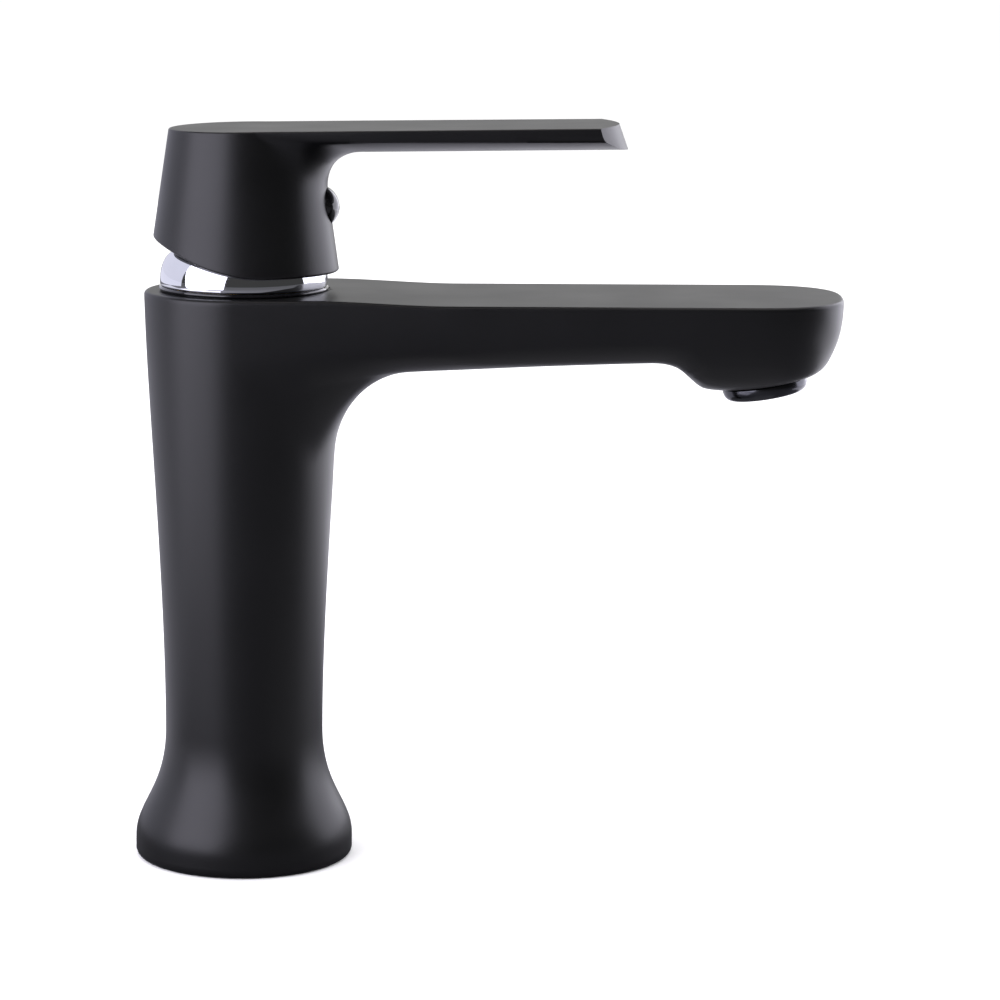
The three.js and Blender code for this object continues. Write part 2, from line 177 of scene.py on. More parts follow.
# %% Main sizes
FOOT_R, WAIST_R, TOP_R = 26.15, 18.9, 23.6
TOP_Z, TOP_SLOPE, TOP_LIFT = 136.2, 0.0104, 1.1
SPOUT_HALF_WIDTH, TIP_X = 23.5, 118.1
OUTLET_X, OUTLET_Z, OUTLET_TILT = 123.6, 116.2, math.radians(10)
NOSE_LIFT, TIP_SQUARENESS = 1.0, 2.6
HUB_BOTTOM_R, HUB_TOP_R, HUB_RIM_Z, HUB_TOP_Z = 22.5, 17.6, 142.0, 175.6
HUB_SLOPE = (HUB_BOTTOM_R - HUB_TOP_R) / (HUB_TOP_Z - HUB_RIM_Z)
PIVOT_Z, LEAN = 134.0, math.radians(12.5)
GAP = 0.3
for name in ("body_casting", "handle", "cover_ring", "aerator_housing"):
    low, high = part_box(name)
    print(name, [round(v / MM, 1) for v in (*low, *high)])

# %% [markdown]
# ## Cast shapes that flow into each other
#
# The body is poured in one piece: a turned column, a flat spout with a tucked-under wall, and a
# wide round corner where they meet. No edge shows there, so two overlapping shapes with a crease
# between them would look wrong. The way used here is the one of a pattern maker. Rough blocks are
# put together, a voxel remesh gives them one even skin, and then every point of that skin is moved
# onto the true surface. The true surface is written as a distance: nothing on it, more than
# nothing outside. A ball rolled into the corner of two such distances gives the round corner.

# %% Distances that meet in round corners
def smooth_step(x, low, high):
    t = np.clip((x - low) / (high - low), 0, 1)
    return t * t * (3 - 2 * t)


def rounded_meet(a, b, radius):
    """Inside both shapes, with their outer edge rounded."""
    over = np.hypot(np.maximum(radius + a, 0), np.maximum(radius + b, 0))
    return np.minimum(-radius, np.maximum(a, b)) + over


def gradient(distance, points, step=0.05):
    out = np.empty_like(points)
    for axis in range(3):
        shift = np.zeros(3)
        shift[axis] = step
        out[:, axis] = (distance(points + shift) - distance(points - shift)) / (2 * step)
    return out


def ball_joined(first, second, ball, fade):
    """Either shape, with a ball rolled into the corner between them, in front of the axis.

    The ball grows from nothing to its full radius between the two places that fade gives."""
    def distance(points):
        a, b = first(points), second(points)
        radius = ball * smooth_step(points[:, 0], *fade) + 1e-6
        na, nb = gradient(first, points), gradient(second, points)
        na /= np.linalg.norm(na, axis=1)[:, None] + 1e-12
        nb /= np.linalg.norm(nb, axis=1)[:, None] + 1e-12
        c = np.clip((na * nb).sum(1), -0.9999, 0.9999)
        u, v = radius - a, radius - b
        corner = (u > 0) & (v > 0) & (u - c * v > 0) & (v - c * u > 0)
        reach = np.sqrt(np.maximum(u * u + v * v - 2 * c * u * v, 0) / (1 - c * c))
        return np.where(corner, radius - reach, np.minimum(a, b))
    return distance


# %% [markdown]
# Moving the points is a few steps of Newton's method, with a little smoothing between them so
# that they stay evenly spread.

# %% A skin drawn onto its true surface
def hull_around(name, bm):
    """The convex block around a few corners."""
    hull = bmesh.ops.convex_hull(bm, input=bm.verts)
    inside = [item for item in hull["geom_interior"] if isinstance(item, bmesh.types.BMVert)]
    bmesh.ops.delete(bm, geom=inside, context="VERTS")
    return new_object(name, bm)


def remeshed(piece, voxel):
    remesh = piece.modifiers.new("skin", "REMESH")
    remesh.mode = "VOXEL"
    remesh.voxel_size = voxel
    bake_modifiers(piece)


def join_rough(name, *parts):
    bm = bmesh.new()
    for part in parts:
        bm.from_mesh(part.data)
        bpy.data.objects.remove(part)
    return new_object(name, bm)


def draw_onto(piece, distance, rounds=4):
    bm = bmesh.new()
    bm.from_mesh(piece.data)
    for turn in range(rounds):
        if turn:
            bmesh.ops.smooth_vert(bm, verts=bm.verts, factor=0.5, use_axis_x=True,
                                  use_axis_y=True, use_axis_z=True)
        points = np.array([v.co for v in bm.verts])
        for _ in range(3):
            value, slope = distance(points), gradient(distance, points)
            steepness = (slope ** 2).sum(1)[:, None] + 1e-6
            points -= np.clip(value, -2, 2)[:, None] * slope / steepness
        for vert, point in zip(bm.verts, points):
            vert.co = point
    off = round(float(np.abs(value).max()), 4)
    print(piece.name, "points:", len(bm.verts), "furthest off:", off)
    bm.to_mesh(piece.data)
    bm.free()


def soft_band(value, start, full, fading, end):
    """Nothing up to start, everything from full to fading, and nothing again from end."""
    return smooth_step(value, start, full) * (1 - smooth_step(value, fading, end))


def soften(piece, along, upwards, rounds):
    """Evens out the skin in a band of X and a band of Z, so that no seam is left beside a ball."""
    mesh = piece.data
    count = len(mesh.vertices)
    points = np.empty(count * 3)
    mesh.vertices.foreach_get("co", points)
    points = points.reshape(-1, 3)
    pairs = np.empty(len(mesh.edges) * 2, int)
    mesh.edges.foreach_get("vertices", pairs)
    here = np.concatenate([pairs[0::2], pairs[1::2]])
    there = np.concatenate([pairs[1::2], pairs[0::2]])
    links = np.bincount(here, minlength=count)[:, None]
    share = soft_band(points[:, 0], *along) * soft_band(points[:, 2], *upwards)
    weight = 0.5 * share[:, None]
    for _ in range(rounds):
        around = np.stack([np.bincount(here, points[there, axis], count) for axis in range(3)], 1)
        points += weight * (around / links - points)
    mesh.vertices.foreach_set("co", points.ravel())
    mesh.update()
    print(piece.name, "points evened out:", int((share > 0).sum()))


# %% [markdown]
# ## The body casting
#
# The column is a turned shape: an upright band at the foot, a hollow curve up to the waist, then a
# slow swell to the top. The spout's wall is nearly upright at its top edge and tucks under more
# and more below. Its underside rises slightly towards the nose, and the nose drops to the outlet.

# %% The column's and the spout's curves
foot_curve = bezier((FOOT_R, 4.5), (FOOT_R, 12), (WAIST_R, 16), (WAIST_R, 31), 80)
shaft_curve = bezier((WAIST_R, 31), (WAIST_R, 66), (22.9, 110), (TOP_R, TOP_Z), 160)
column_curve = np.array([[FOOT_R, -20]] + foot_curve + shaft_curve[1:] + [[TOP_R, 200]])
wall_curve = np.array([[11, 115.4], [14.4, 117.2], [17.3, 119.2], [19.6, 121.9], [21.4, 125.4],
                       [22.7, 129.3], [23.3, 133.1], [SPOUT_HALF_WIDTH, 137]])


def nose_height(x):
    return OUTLET_Z + NOSE_LIFT + (x - OUTLET_X) * math.tan(OUTLET_TILT)


def over_nose(x, height):
    return x, nose_height(x) + height


NECK = (96.3, 123.05)
under_curve = np.array(
    [[-60, 111.4]]
    + bezier((41.2, 119.6), (59.27, 121.1), (77.63, 122.25), NECK, 60)
    + bezier(NECK, (104.3, 123.3), (104.5, 119.3), over_nose(108.3, 1.7), 60)[1:]
    + bezier(over_nose(108.3, 1.7), over_nose(109.3, 0.95), over_nose(111.2, 0.4),
             over_nose(114.6, 0), 20)[1:]
    + [[200, nose_height(200)]])
print("underside from", under_curve[1], "to", under_curve[-2])


# %% The wall's curve, smoothed through its points
def through(points, count=160):
    """A smooth curve through a few points, as many more of them."""
    knots = np.asarray(points, float)
    slopes = np.gradient(knots[:, 0], knots[:, 1])
    heights = np.linspace(knots[0, 1], knots[-1, 1], count)
    cell = np.clip(np.searchsorted(knots[:, 1], heights) - 1, 0, len(knots) - 2)
    span = knots[cell + 1, 1] - knots[cell, 1]
    t = (heights - knots[cell, 1]) / span
    value = ((2 * t ** 3 - 3 * t ** 2 + 1) * knots[cell, 0]
             + (t ** 3 - 2 * t ** 2 + t) * span * slopes[cell]
             + (3 * t ** 2 - 2 * t ** 3) * knots[cell + 1, 0]
             + (t ** 3 - t ** 2) * span * slopes[cell + 1])
    return value, heights


wall_radius, wall_height = through(wall_curve)
print("wall from", wall_radius[0], "to", wall_radius[-1])


def column_distance(p):
    radius = np.interp(p[:, 2], column_curve[:, 1], column_curve[:, 0])
    slope = np.interp(p[:, 2] + 0.1, column_curve[:, 1], column_curve[:, 0]) - radius
    return (np.hypot(p[:, 0], p[:, 1]) - radius) / np.hypot(1, slope / 0.1)


def spout_distance(p):
    x, y, z = p.T
    under = np.interp(x, under_curve[:, 0], under_curve[:, 1])
    pitch = (np.interp(x + 0.2, under_curve[:, 0], under_curve[:, 1]) - under) / 0.2
    below = (under - z) / np.hypot(1, pitch)
    level = np.maximum(z, under)
    share = smooth_step(x, 0, 40)
    width = (1 - share) * np.interp(level, column_curve[:, 1], column_curve[:, 0])
    width += share * np.interp(level, wall_height, wall_radius)
    over_tip = np.maximum(x - TIP_X, 0)
    squared = (over_tip ** TIP_SQUARENESS + np.abs(y) ** TIP_SQUARENESS) ** (1 / TIP_SQUARENESS)
    beside = np.where(x < 0, np.hypot(x, y), squared) - width
    tuck = (np.interp(level + 0.2, wall_height, wall_radius)
            - np.interp(level, wall_height, wall_radius))
    beside /= np.hypot(1, share * tuck / 0.2)
    return rounded_meet(beside, below, 6 - 3.5 * smooth_step(x, 100, 122))


ROOT_BALL_R = 22.0
ROOT_SOFT = (-2, 10, 42, 58), (88, 102, 124, 133), 30
FOOT_EDGE_R = 1.5
SPARE_Z = 143.0
BODY_VOXEL = 0.9
casting_union = ball_joined(column_distance, spout_distance, ROOT_BALL_R, (0, 20))


def casting_distance(p):
    standing = rounded_meet(casting_union(p), -p[:, 2], FOOT_EDGE_R)
    return np.maximum(standing, p[:, 2] - SPARE_Z)


# %% Rough blocks, one skin, and the true surface
rough_side = [(0, 98), (21, 98), (25, 109), (31, 117), (41, 120.4), (68, 122), (96, 124), (104, 121),
              (110, 115), (133, 117.5), (139, 124), (141, SPARE_Z), (0, SPARE_Z)]
plan = bmesh.new()
for x in (0, TIP_X):
    bmesh.ops.create_circle(plan, cap_ends=False, segments=64, radius=SPOUT_HALF_WIDTH - 0.4,
                            matrix=stand_at(x, 0, 126))
    bmesh.ops.create_circle(plan, cap_ends=False, segments=64, radius=SPOUT_HALF_WIDTH,
                            matrix=stand_at(x, 0, SPARE_Z))
body = join_rough(
    "faucet_body", hull_around("rough_spout", plan), slab("rough_root", rough_side, 13),
    turned("rough_column", [[0, 0], [FOOT_R, 0]] + [[r, z] for r, z in column_curve[1:-1:8]]
           + [[TOP_R, SPARE_Z], [0, SPARE_Z]]))
remeshed(body, BODY_VOXEL)
draw_onto(body, casting_distance)
soften(body, *ROOT_SOFT)

# %% [markdown]
# ## A crisp top edge
#
# A remeshed skin can't hold an edge, so the spare height is cut off with a plane, a little below
# the top. The open rim is then extruded: round the small edge first, and on inwards in loops over
# the flat top. Each point remembers where it stood on the rim, so the loops keep the rim's plan.
# The real casting stands a little higher over the column than over the spout. So that part is
# lifted at the end, and comes down to the spout in a long soft slope.

# %% Rims that are rolled over and carried inwards
def plan_inward(base, axis_end):
    """The level direction from the wall to the middle line of the plan."""
    foot = Vector((min(max(base.x, 0), axis_end), 0, base.z))
    return (foot - base).normalized()


def trim(bm, point, normal):
    """Takes away what lies on the side that the normal points to."""
    bmesh.ops.bisect_plane(bm, geom=bm.verts[:] + bm.edges[:] + bm.faces[:], dist=1e-5,
                           plane_co=point, plane_no=normal, clear_outer=True)


def carry(bm, rim, places):
    """Extrudes an open rim once for each rule in places, which moves a point from its base."""
    memory = bm.verts.layers.float_vector.new("base")
    for vert in {v for edge in rim for v in edge.verts}:
        vert[memory] = vert.co
    for place in places:
        grown = bmesh.ops.extrude_edge_only(bm, edges=rim)["geom"]
        for vert in (g for g in grown if isinstance(g, bmesh.types.BMVert)):
            vert.co = place(Vector(vert[memory]))
        rim = [g for g in grown if isinstance(g, bmesh.types.BMEdge) and g.is_boundary]
    bmesh.ops.contextual_create(bm, geom=rim)
    bm.verts.layers.float_vector.remove(memory)


# %% The top of the casting
TOP_EDGE_R = 0.9
TOP_LOOPS = (0.9, 1.6, 2.6, 4, 6, 8.5, 11.5, 14.5, 17.5, 20.5, 22.8)
LIFT_ENDS_X, LIFT_GROWS_Z = (18, 50), (120, TOP_Z - 1)


def over_edge(turn):
    def place(base):
        inward = plan_inward(base, TIP_X)
        x, y, _ = base + inward * TOP_EDGE_R * (1 - math.cos(turn))
        return (x, y, base.z + TOP_EDGE_R * math.sin(turn))
    return place


def across_top(way):
    def place(base):
        x, y, _ = base + plan_inward(base, TIP_X) * way
        return (x, y, TOP_Z + TOP_SLOPE * x)
    return place


bm = bmesh.new()
bm.from_mesh(body.data)
trim(bm, (0, 0, TOP_Z - TOP_EDGE_R), (-TOP_SLOPE, 0, 1))
rim = [edge for edge in bm.edges if edge.is_boundary]
print("points on the top rim:", len(rim))
quarter = [over_edge(k * TURN / 16) for k in (1, 2, 3)]
inner = [across_top(way) for way in TOP_LOOPS]
carry(bm, rim, quarter + inner)
for vert in bm.verts:
    over_column = 1 - float(smooth_step(vert.co.x, *LIFT_ENDS_X))
    vert.co.z += TOP_LIFT * over_column * float(smooth_step(vert.co.z, *LIFT_GROWS_Z))
bmesh.ops.recalc_face_normals(bm, faces=bm.faces)
bm.to_mesh(body.data)
bm.free()

# %% [markdown]
# ## What is hollow inside the casting
#
# The cartridge stands in a bored chamber. Two risers bring hot and cold water up to it from tapped
# ports in the foot, a waterway leads from its side into the spout, and the outlet is bored at a
# slight tilt. A blind hole takes the fixing stud, and a groove holds the base gasket. Turned and
# flat tools are taken out of the casting, as a machinist would do it.

# %% Bores, ports, waterway and groove
SEAT_Z, BORE_R = 101, 19
PAD_Z, PAD_R = 137.3, 20.4
ABOVE_Z = 142
PORT_X, PORT_Y, PORT_R, RISER_R = -6.5, 8, 5.2, 4
STUD_X, STUD_R = 9.5, 4
OUTLET_R, WATERWAY_HALF = 8.6, 14
GROOVE_IN, GROOVE_OUT, GROOVE_DEPTH = 20, 23.4, 2.2
onto_outlet = lean_at(-OUTLET_TILT, OUTLET_X, OUTLET_Z)
waterway = ([(12, 113.5), (22, 114.8)]
            + bezier((22, 114.8), (27.3, 120.7), (34.7, 124), (44, 124.2), 12)[1:]
            + [(98, 127.4), (116, 125.5), (130, 127.6), (130, 133.2), (44, 132.4)]
            + bezier((44, 132.4), (33.3, 131.8), (25.3, 128.8), (20, 123.5), 12)[1:] + [(12, 123.5)])
tools = [
    turned("chamber", [[0, SEAT_Z], [BORE_R, SEAT_Z], [BORE_R, PAD_Z], [PAD_R, PAD_Z],
                       [PAD_R, ABOVE_Z], [0, ABOVE_Z]]),
    slab("waterway", waterway, WATERWAY_HALF),
    rod("outlet_bore", OUTLET_R, -3, 12, onto_outlet),
    turned("stud_hole", [[0, -1], [STUD_R + 0.6, -1], [STUD_R, 0.6], [STUD_R, 18], [0, 20]],
           steps=48, place=stand_at(STUD_X, 0)),
    turned("gasket_groove", [[GROOVE_IN, -1], [GROOVE_OUT, -1], [GROOVE_OUT, GROOVE_DEPTH],
                             [GROOVE_IN, GROOVE_DEPTH]], closed=True),
]
for side in (PORT_Y, -PORT_Y):
    riser = [[0, -1], [PORT_R + 0.7, -1], [PORT_R, 0.7], [PORT_R, 12], [RISER_R, 13],
             [RISER_R, SEAT_Z + 1], [0, SEAT_Z + 1]]
    tools.append(turned("riser", riser, steps=48, place=stand_at(PORT_X, side)))
carve(body, "DIFFERENCE", *tools)
finish_piece(body)

# %% [markdown]
# ## The handle
#
# The handle is a second casting: a hood that narrows upwards, and a flat lever that grows out of
# it with one unbroken flat top. Seen from the side, the hood turns into the lever's underside in a
# round corner. The underside is bowed across like a hull, deep in the middle and thin at the sides.
# The same way is used as for the body. The lever is left a little too long for now, because its
# end is cut off later.

# %% The hood's and the lever's surfaces
LEVER_RISE = math.tan(math.radians(1.3))
LEVER_DEEP, LEVER_THIN, LEVER_TIP_X, LEVER_TIP_HALF = 5.95, 3.0, 88.1, 16.0
LEVER_SHOULDER_X, LEVER_SPARE = 82.5, 6
UNDER_EDGE_R, UNDER_EDGE_FINER, HULL_BOW = 3.6, 2.6, 2.2
HUB_BALL_R, HUB_BALL_GROWS = 8.0, (2, 16)
HOOD_SOFT = (0, 12, 18, 32), (154, 163, 170, 173.5), 100
HOOD_LOW_Z, HOOD_HIGH_Z, HANDLE_VOXEL = 139, 184, 0.5


def hub_distance(p):
    radius = HUB_TOP_R + HUB_SLOPE * (HUB_TOP_Z - p[:, 2])
    return (np.hypot(p[:, 0], p[:, 1]) - radius) / math.hypot(1, HUB_SLOPE)


def lever_distance(p):
    """Flat on top, with an underside bowed like a hull, and longer than it will be."""
    x, y, z = p.T
    ahead = np.maximum(x, 0)
    drop = HUB_TOP_Z + ahead * LEVER_RISE - z
    half = HUB_TOP_R + (LEVER_TIP_HALF - HUB_TOP_R) * ahead / LEVER_SHOULDER_X + HUB_SLOPE * drop
    beside = (np.hypot(np.minimum(x, 0), y) - half) / math.hypot(1, HUB_SLOPE)
    across = np.abs(y) / LEVER_TIP_HALF
    depth = LEVER_DEEP - (LEVER_DEEP - LEVER_THIN) * np.minimum(across, 1.2) ** HULL_BOW
    under = (drop - depth) / (1 + 0.05 * across)
    under_edge = UNDER_EDGE_R - UNDER_EDGE_FINER * smooth_step(x, 4, 34)
    return np.maximum(rounded_meet(beside, under, under_edge), x - LEVER_TIP_X - LEVER_SPARE)


handle_union = ball_joined(hub_distance, lever_distance, HUB_BALL_R, HUB_BALL_GROWS)


def handle_distance(p):
    return np.maximum(handle_union(p), np.maximum(HOOD_LOW_Z - p[:, 2], p[:, 2] - HOOD_HIGH_Z))


# %% The handle's skin
corners = bmesh.new()
for x in (0, LEVER_TIP_X + LEVER_SPARE - 0.3):
    for y, drop in ((15.6, 2.6), (7.9, 5), (-7.9, 5), (-15.6, 2.6)):
        corners.verts.new((x, y, HOOD_HIGH_Z))
        corners.verts.new((x, y, HUB_TOP_Z + x * LEVER_RISE - drop))
handle = join_rough("lever_handle", hull_around("rough_lever", corners),
                    turned("rough_hub", [[0, HOOD_LOW_Z], [22.6, HOOD_LOW_Z], [17, HOOD_HIGH_Z],
                                         [0, HOOD_HIGH_Z]]))
remeshed(handle, HANDLE_VOXEL)
draw_onto(handle, handle_distance)
soften(handle, *HOOD_SOFT)

# %% [markdown]
# The top edge is rolled over and carried inwards as on the body. The rim at the bottom is level at
# the front, and climbs towards the back, so that the hood clears the body when it is lifted. It is
# rolled inwards too, and carried up inside to the ceiling, which gives the hood its wall.

# %% Rules for the handle's loops
HANDLE_EDGE_R, RIM_EDGE_R, HUB_WALL, CEILING_Z = 0.45, 0.5, 2.2, 169
TOP_MIDDLE_END_X = LEVER_TIP_X - 14


def handle_top(way, sink):
    """A loop of the lever's top, way inwards of the rim but never past the middle line."""
    def place(base):
        inward = Vector((min(max(base.x, 0), TOP_MIDDLE_END_X), 0, base.z)) - base
        x, y, _ = base + inward.normalized() * min(way, 0.9 * inward.length)
        return (x, y, HUB_TOP_Z + x * LEVER_RISE - sink)
    return place


def under_rim(way, sink):
    def place(base):
        return base + plan_inward(base, 0) * way - Vector((0, 0, sink))
    return place


def up_inside(z):
    def place(base):
        inward = plan_inward(base, 0)
        radius = HUB_TOP_R + HUB_SLOPE * (HUB_TOP_Z - z) - HUB_WALL
        return (-inward.x * radius, -inward.y * radius, z)
    return place


print("the hood's wall:", HUB_WALL, "mm, up to", CEILING_Z)

# %% The handle's top and its hollow
HANDLE_LOOPS = (HANDLE_EDGE_R, 1.5, 4, 8, 12, 15.5)
RIM_FRONT_X, RIM_BACK_X, RIM_CLIMB, RIM_CUTS = 8, -12, 0.4, 12
bm = bmesh.new()
bm.from_mesh(handle.data)
trim(bm, (0, 0, HUB_TOP_Z - HANDLE_EDGE_R), (-LEVER_RISE, 0, 1))
quarter = [handle_top(HANDLE_EDGE_R * (1 - math.cos(t)), HANDLE_EDGE_R * (1 - math.sin(t)))
           for t in (TURN / 16, TURN / 8, 3 * TURN / 16)]
inner = [handle_top(way, 0) for way in HANDLE_LOOPS]
carry(bm, [edge for edge in bm.edges if edge.is_boundary], quarter + inner)
trim(bm, (0, 0, HUB_RIM_Z + RIM_EDGE_R), (0, 0, -1))
for k in range(1, RIM_CUTS + 1):
    share = k / RIM_CUTS
    x = RIM_FRONT_X + (RIM_BACK_X - RIM_FRONT_X) * share
    climbed = RIM_CLIMB * share ** 2 * (RIM_FRONT_X - RIM_BACK_X) / 2
    trim(bm, (x, 0, HUB_RIM_Z + RIM_EDGE_R + climbed), (-RIM_CLIMB * share, 0, -1))
roll = [under_rim(RIM_EDGE_R * (1 - math.cos(t)), RIM_EDGE_R * math.sin(t))
        for t in (TURN / 16, TURN / 8, 3 * TURN / 16, TURN / 4)]
roll += [under_rim(HUB_WALL - 0.5, RIM_EDGE_R), under_rim(HUB_WALL - 0.1, RIM_EDGE_R - 0.4),
         up_inside(155), up_inside(CEILING_Z)]
carry(bm, [edge for edge in bm.edges if edge.is_boundary], roll)
bmesh.ops.recalc_face_normals(bm, faces=bm.faces)
bm.to_mesh(handle.data)
bm.free()

# %% [markdown]
# The lever's end is a gently bowed face that leans out at the bottom. Its edges are crisp, which a
# remeshed skin can't hold, so a block with that face as its wall takes away the lever's spare
# length.

# %% The lever's end
END_BOW, END_BOW_POWER, END_LEAN = 4.4, 1.8, 0.36
END_TOP, END_DROP, END_WIDE = HUB_TOP_Z + 6, 20, 20
end_bm = bmesh.new()
plan = [(LEVER_TIP_X - END_BOW * abs(y / LEVER_TIP_HALF) ** END_BOW_POWER, y)
        for y in np.linspace(-END_WIDE, END_WIDE, 49)]
plan += [(LEVER_TIP_X + END_WIDE, END_WIDE), (LEVER_TIP_X + END_WIDE, -END_WIDE)]
lean_above = END_LEAN * (END_TOP - HUB_TOP_Z - LEVER_TIP_X * LEVER_RISE)
face = end_bm.faces.new([end_bm.verts.new((x - lean_above, y, END_TOP)) for x, y in plan])
grown = bmesh.ops.extrude_face_region(end_bm, geom=[face])["geom"]
bmesh.ops.translate(end_bm, vec=(END_LEAN * END_DROP, 0, -END_DROP),
                    verts=[item for item in grown if isinstance(item, bmesh.types.BMVert)])
bmesh.ops.recalc_face_normals(end_bm, faces=end_bm.faces)
carve(handle, "DIFFERENCE", new_object("beyond_the_end", end_bm))
print("lever's end at", max(corner[0] for corner in handle.bound_box))

# %% [markdown]
# Inside the hood, a boss with a square socket takes the spindle, and a rib joins it to the front
# wall. The grub screw runs through both, and its hole ends in a seat for the index plug.

# %% Boss for the spindle, rib and hole for the grub screw
PLUG_Z, PLUG_R, PLUG_BULGE, SCREW_R = 157.5, 4.4, 2.3, 2.5
BOSS_R, SOCKET_HALF, SOCKET_HALF_Y, RIB_HALF = 7.6, 4.5, 4.8, 4
onto_plug = lean_at(math.pi / 2 - math.atan(HUB_SLOPE),
                    HUB_TOP_R + HUB_SLOPE * (HUB_TOP_Z - PLUG_Z), PLUG_Z)
along_spindle = lean_at(LEAN, 0, PIVOT_Z)
rib = slab("rib", [(8, PLUG_Z - 5), (18.4, PLUG_Z - 5), (17, CEILING_Z + 1), (8, CEILING_Z + 1)],
           RIB_HALF)
carve(handle, "UNION", rod("boss", BOSS_R, 17.5, 36, along_spindle), rib)
socket = slab("socket", [(-SOCKET_HALF, 10), (SOCKET_HALF, 10), (SOCKET_HALF, 30.4),
                         (-SOCKET_HALF, 30.4)], SOCKET_HALF_Y)
socket.data.transform(along_spindle)
carve(handle, "DIFFERENCE", socket, rod("screw_hole", SCREW_R + GAP, -16, 1, onto_plug, 40),
      rod("plug_seat", PLUG_R + 0.12, -3, 4, onto_plug))
finish_piece(handle)

# %% [markdown]
# ## The turned parts that show
#
# The chrome cover ring is a thin drawn shell: an upright band at the bottom and a dome that closes
# in towards the spindle. A thin glossy gasket lies under it. The index plug is a small dome in the
# front of the hood, over the grub screw. They are all spins of a fine section.

# %% Cover ring and its gasket
ring_section = (arc((19.4, 138.8), 0.4, -90, 0, 4)
                + bezier((19.8, 139.6), (19.65, 143.8), (18.2, 146.4), (14.9, 147.24), 22)
                + arc((14.35, 146.7), 0.6, 60, 180, 5)
                + bezier((13.75, 145.9), (16.9, 145.4), (18.3, 143.2), (18.5, 139.4), 14)
                + [[18.5, 138.6], [18.7, 138.4]])
cover_ring = turned("chrome_cover_ring", ring_section, closed=True, steps=144)
finish_piece(cover_ring, 50)
gasket_section = (arc((19.55, 137.85), 0.48, -90, 90, 10)
                  + [[18.9, 138.33], [18.7, 138.1], [18.7, 137.0], [18.93, 137.0], [18.93, 137.37]])
ring_gasket = finish_piece(turned("cover_ring_gasket", gasket_section, closed=True, steps=144), 50)

# %% Index plug
CAP_R = (PLUG_R ** 2 + PLUG_BULGE ** 2) / (2 * PLUG_BULGE)
rim_angle = math.degrees(math.acos(PLUG_R / CAP_R))
plug_section = ([[0, -2.6], [3.2, -2.6], [3.5, -2.3], [3.5, -0.9], [4.3, -0.9], [PLUG_R, -0.8]]
                + arc((0, PLUG_BULGE - CAP_R), CAP_R, rim_angle, 90, 18))
index_plug = finish_piece(turned("lever_index_plug", plug_section, steps=64, place=onto_plug), 50)

# %% [markdown]
# ## The aerator
#
# The collar screws into the nose and stands a little proud of it. Its lower edge is rolled, and two
# notches inside it take the key. Behind it sits a plastic insert with a honeycomb of holes, which
# mixes air into the water. The collar is a spin with the notches cut out. One honeycomb cell is a
# six-sided rod, repeated in staggered rows, and the rods are cut out of a turned disc.

# %% Collar with key notches
COLLAR_R = 10.0
collar_section = ([[7.1, -1.6]] + arc((7.4, -1.9), 0.3, 180, 270, 4) + arc((8.0, -0.2), 2.0, -88, 0, 10)
                  + arc((COLLAR_R - 0.2, NOSE_LIFT - 0.35), 0.2, 0, 90, 3)
                  + [[8.3, NOSE_LIFT - 0.15], [8.2, NOSE_LIFT - 0.05], [8.2, 7.2], [8.0, 7.4],
                     [7.3, 7.4], [7.1, 7.2]])
collar = turned("aerator_collar", collar_section, closed=True, steps=120, place=onto_outlet)
notches = slab("notches", [(-1.1, -3), (1.1, -3), (1.1, -1.3), (-1.1, -1.3)], 8.4)
notches.data.transform(onto_outlet)
carve(collar, "DIFFERENCE", notches)
finish_piece(collar, 40)

# %% Honeycomb insert
CELL_STEP, CELL_R, CELLS_WITHIN_R = 2.05, 0.92, 5.7
insert = turned("aerator_honeycomb", [[0, -0.6], [6.5, -0.6], [6.8, -0.3], [6.8, 5], [0, 5]],
                steps=72, place=onto_outlet)
cells = bmesh.new()
for row in range(-3, 4):
    for column in range(-3, 4):
        x = CELL_STEP * (column + row / 2)
        y = CELL_STEP * row * math.sqrt(3) / 2
        if math.hypot(x, y) < CELLS_WITHIN_R:
            bmesh.ops.create_cone(cells, cap_ends=True, segments=6, radius1=CELL_R, radius2=CELL_R,
                                  depth=8, matrix=onto_outlet @ stand_at(x, y, 2.2))
carve(insert, "DIFFERENCE", new_object("honeycomb_cells", cells))
finish_piece(insert, 30)

# %% Base gasket
base_section = ([[20.3, 0.0], [20.6, 0.0], [23.0, 0.0]] + arc((22.8, 0.3), 0.3, -60, 0, 3)
                + [[23.1, 1.6], [22.8, 1.9], [20.6, 1.9], [20.3, 1.6]])
base_gasket = finish_piece(turned("foot_gasket", base_section, closed=True, steps=120), 40)

# %% [markdown]
# ## Finishes
#
# A finish is more than a colour. Powder coat has a fine grain and lies a little thicker in places,
# turned brass keeps the marks of the tool, and moulded plastic has a slight orange peel. These
# effects are needed by several finishes, so each is a node group of its own, with its own values
# in each material. They read Object coordinates, which stay put on a piece when it moves.

# %% An empty effect with named inputs and outputs
SOCKET_KINDS = {1: "NodeSocketFloat", 3: "NodeSocketVector", 4: "NodeSocketColor"}


def effect(name, inputs, outputs):
    tree = bpy.data.node_groups.new(name, "ShaderNodeTree")
    for label, value in inputs:
        kind = SOCKET_KINDS[np.size(value)]
        socket = tree.interface.new_socket(name=label, in_out="INPUT", socket_type=kind)
        socket.default_value = value
    for label, kind in outputs:
        tree.interface.new_socket(name=label, in_out="OUTPUT", socket_type=kind)
    return tree, tree.nodes.new("NodeGroupInput"), tree.nodes.new("NodeGroupOutput")


def noise(tree, vector, scale, detail):
    node = tree.nodes.new("ShaderNodeTexNoise")
    tree.links.new(vector, node.inputs["Vector"])
    tree.links.new(scale, node.inputs["Scale"])
    node.inputs["Detail"].default_value = detail
    return node.outputs["Fac"]


print("sockets:", sorted(SOCKET_KINDS.values()))


# %% Grain, fine and a little coarse
COARSER = 0.22


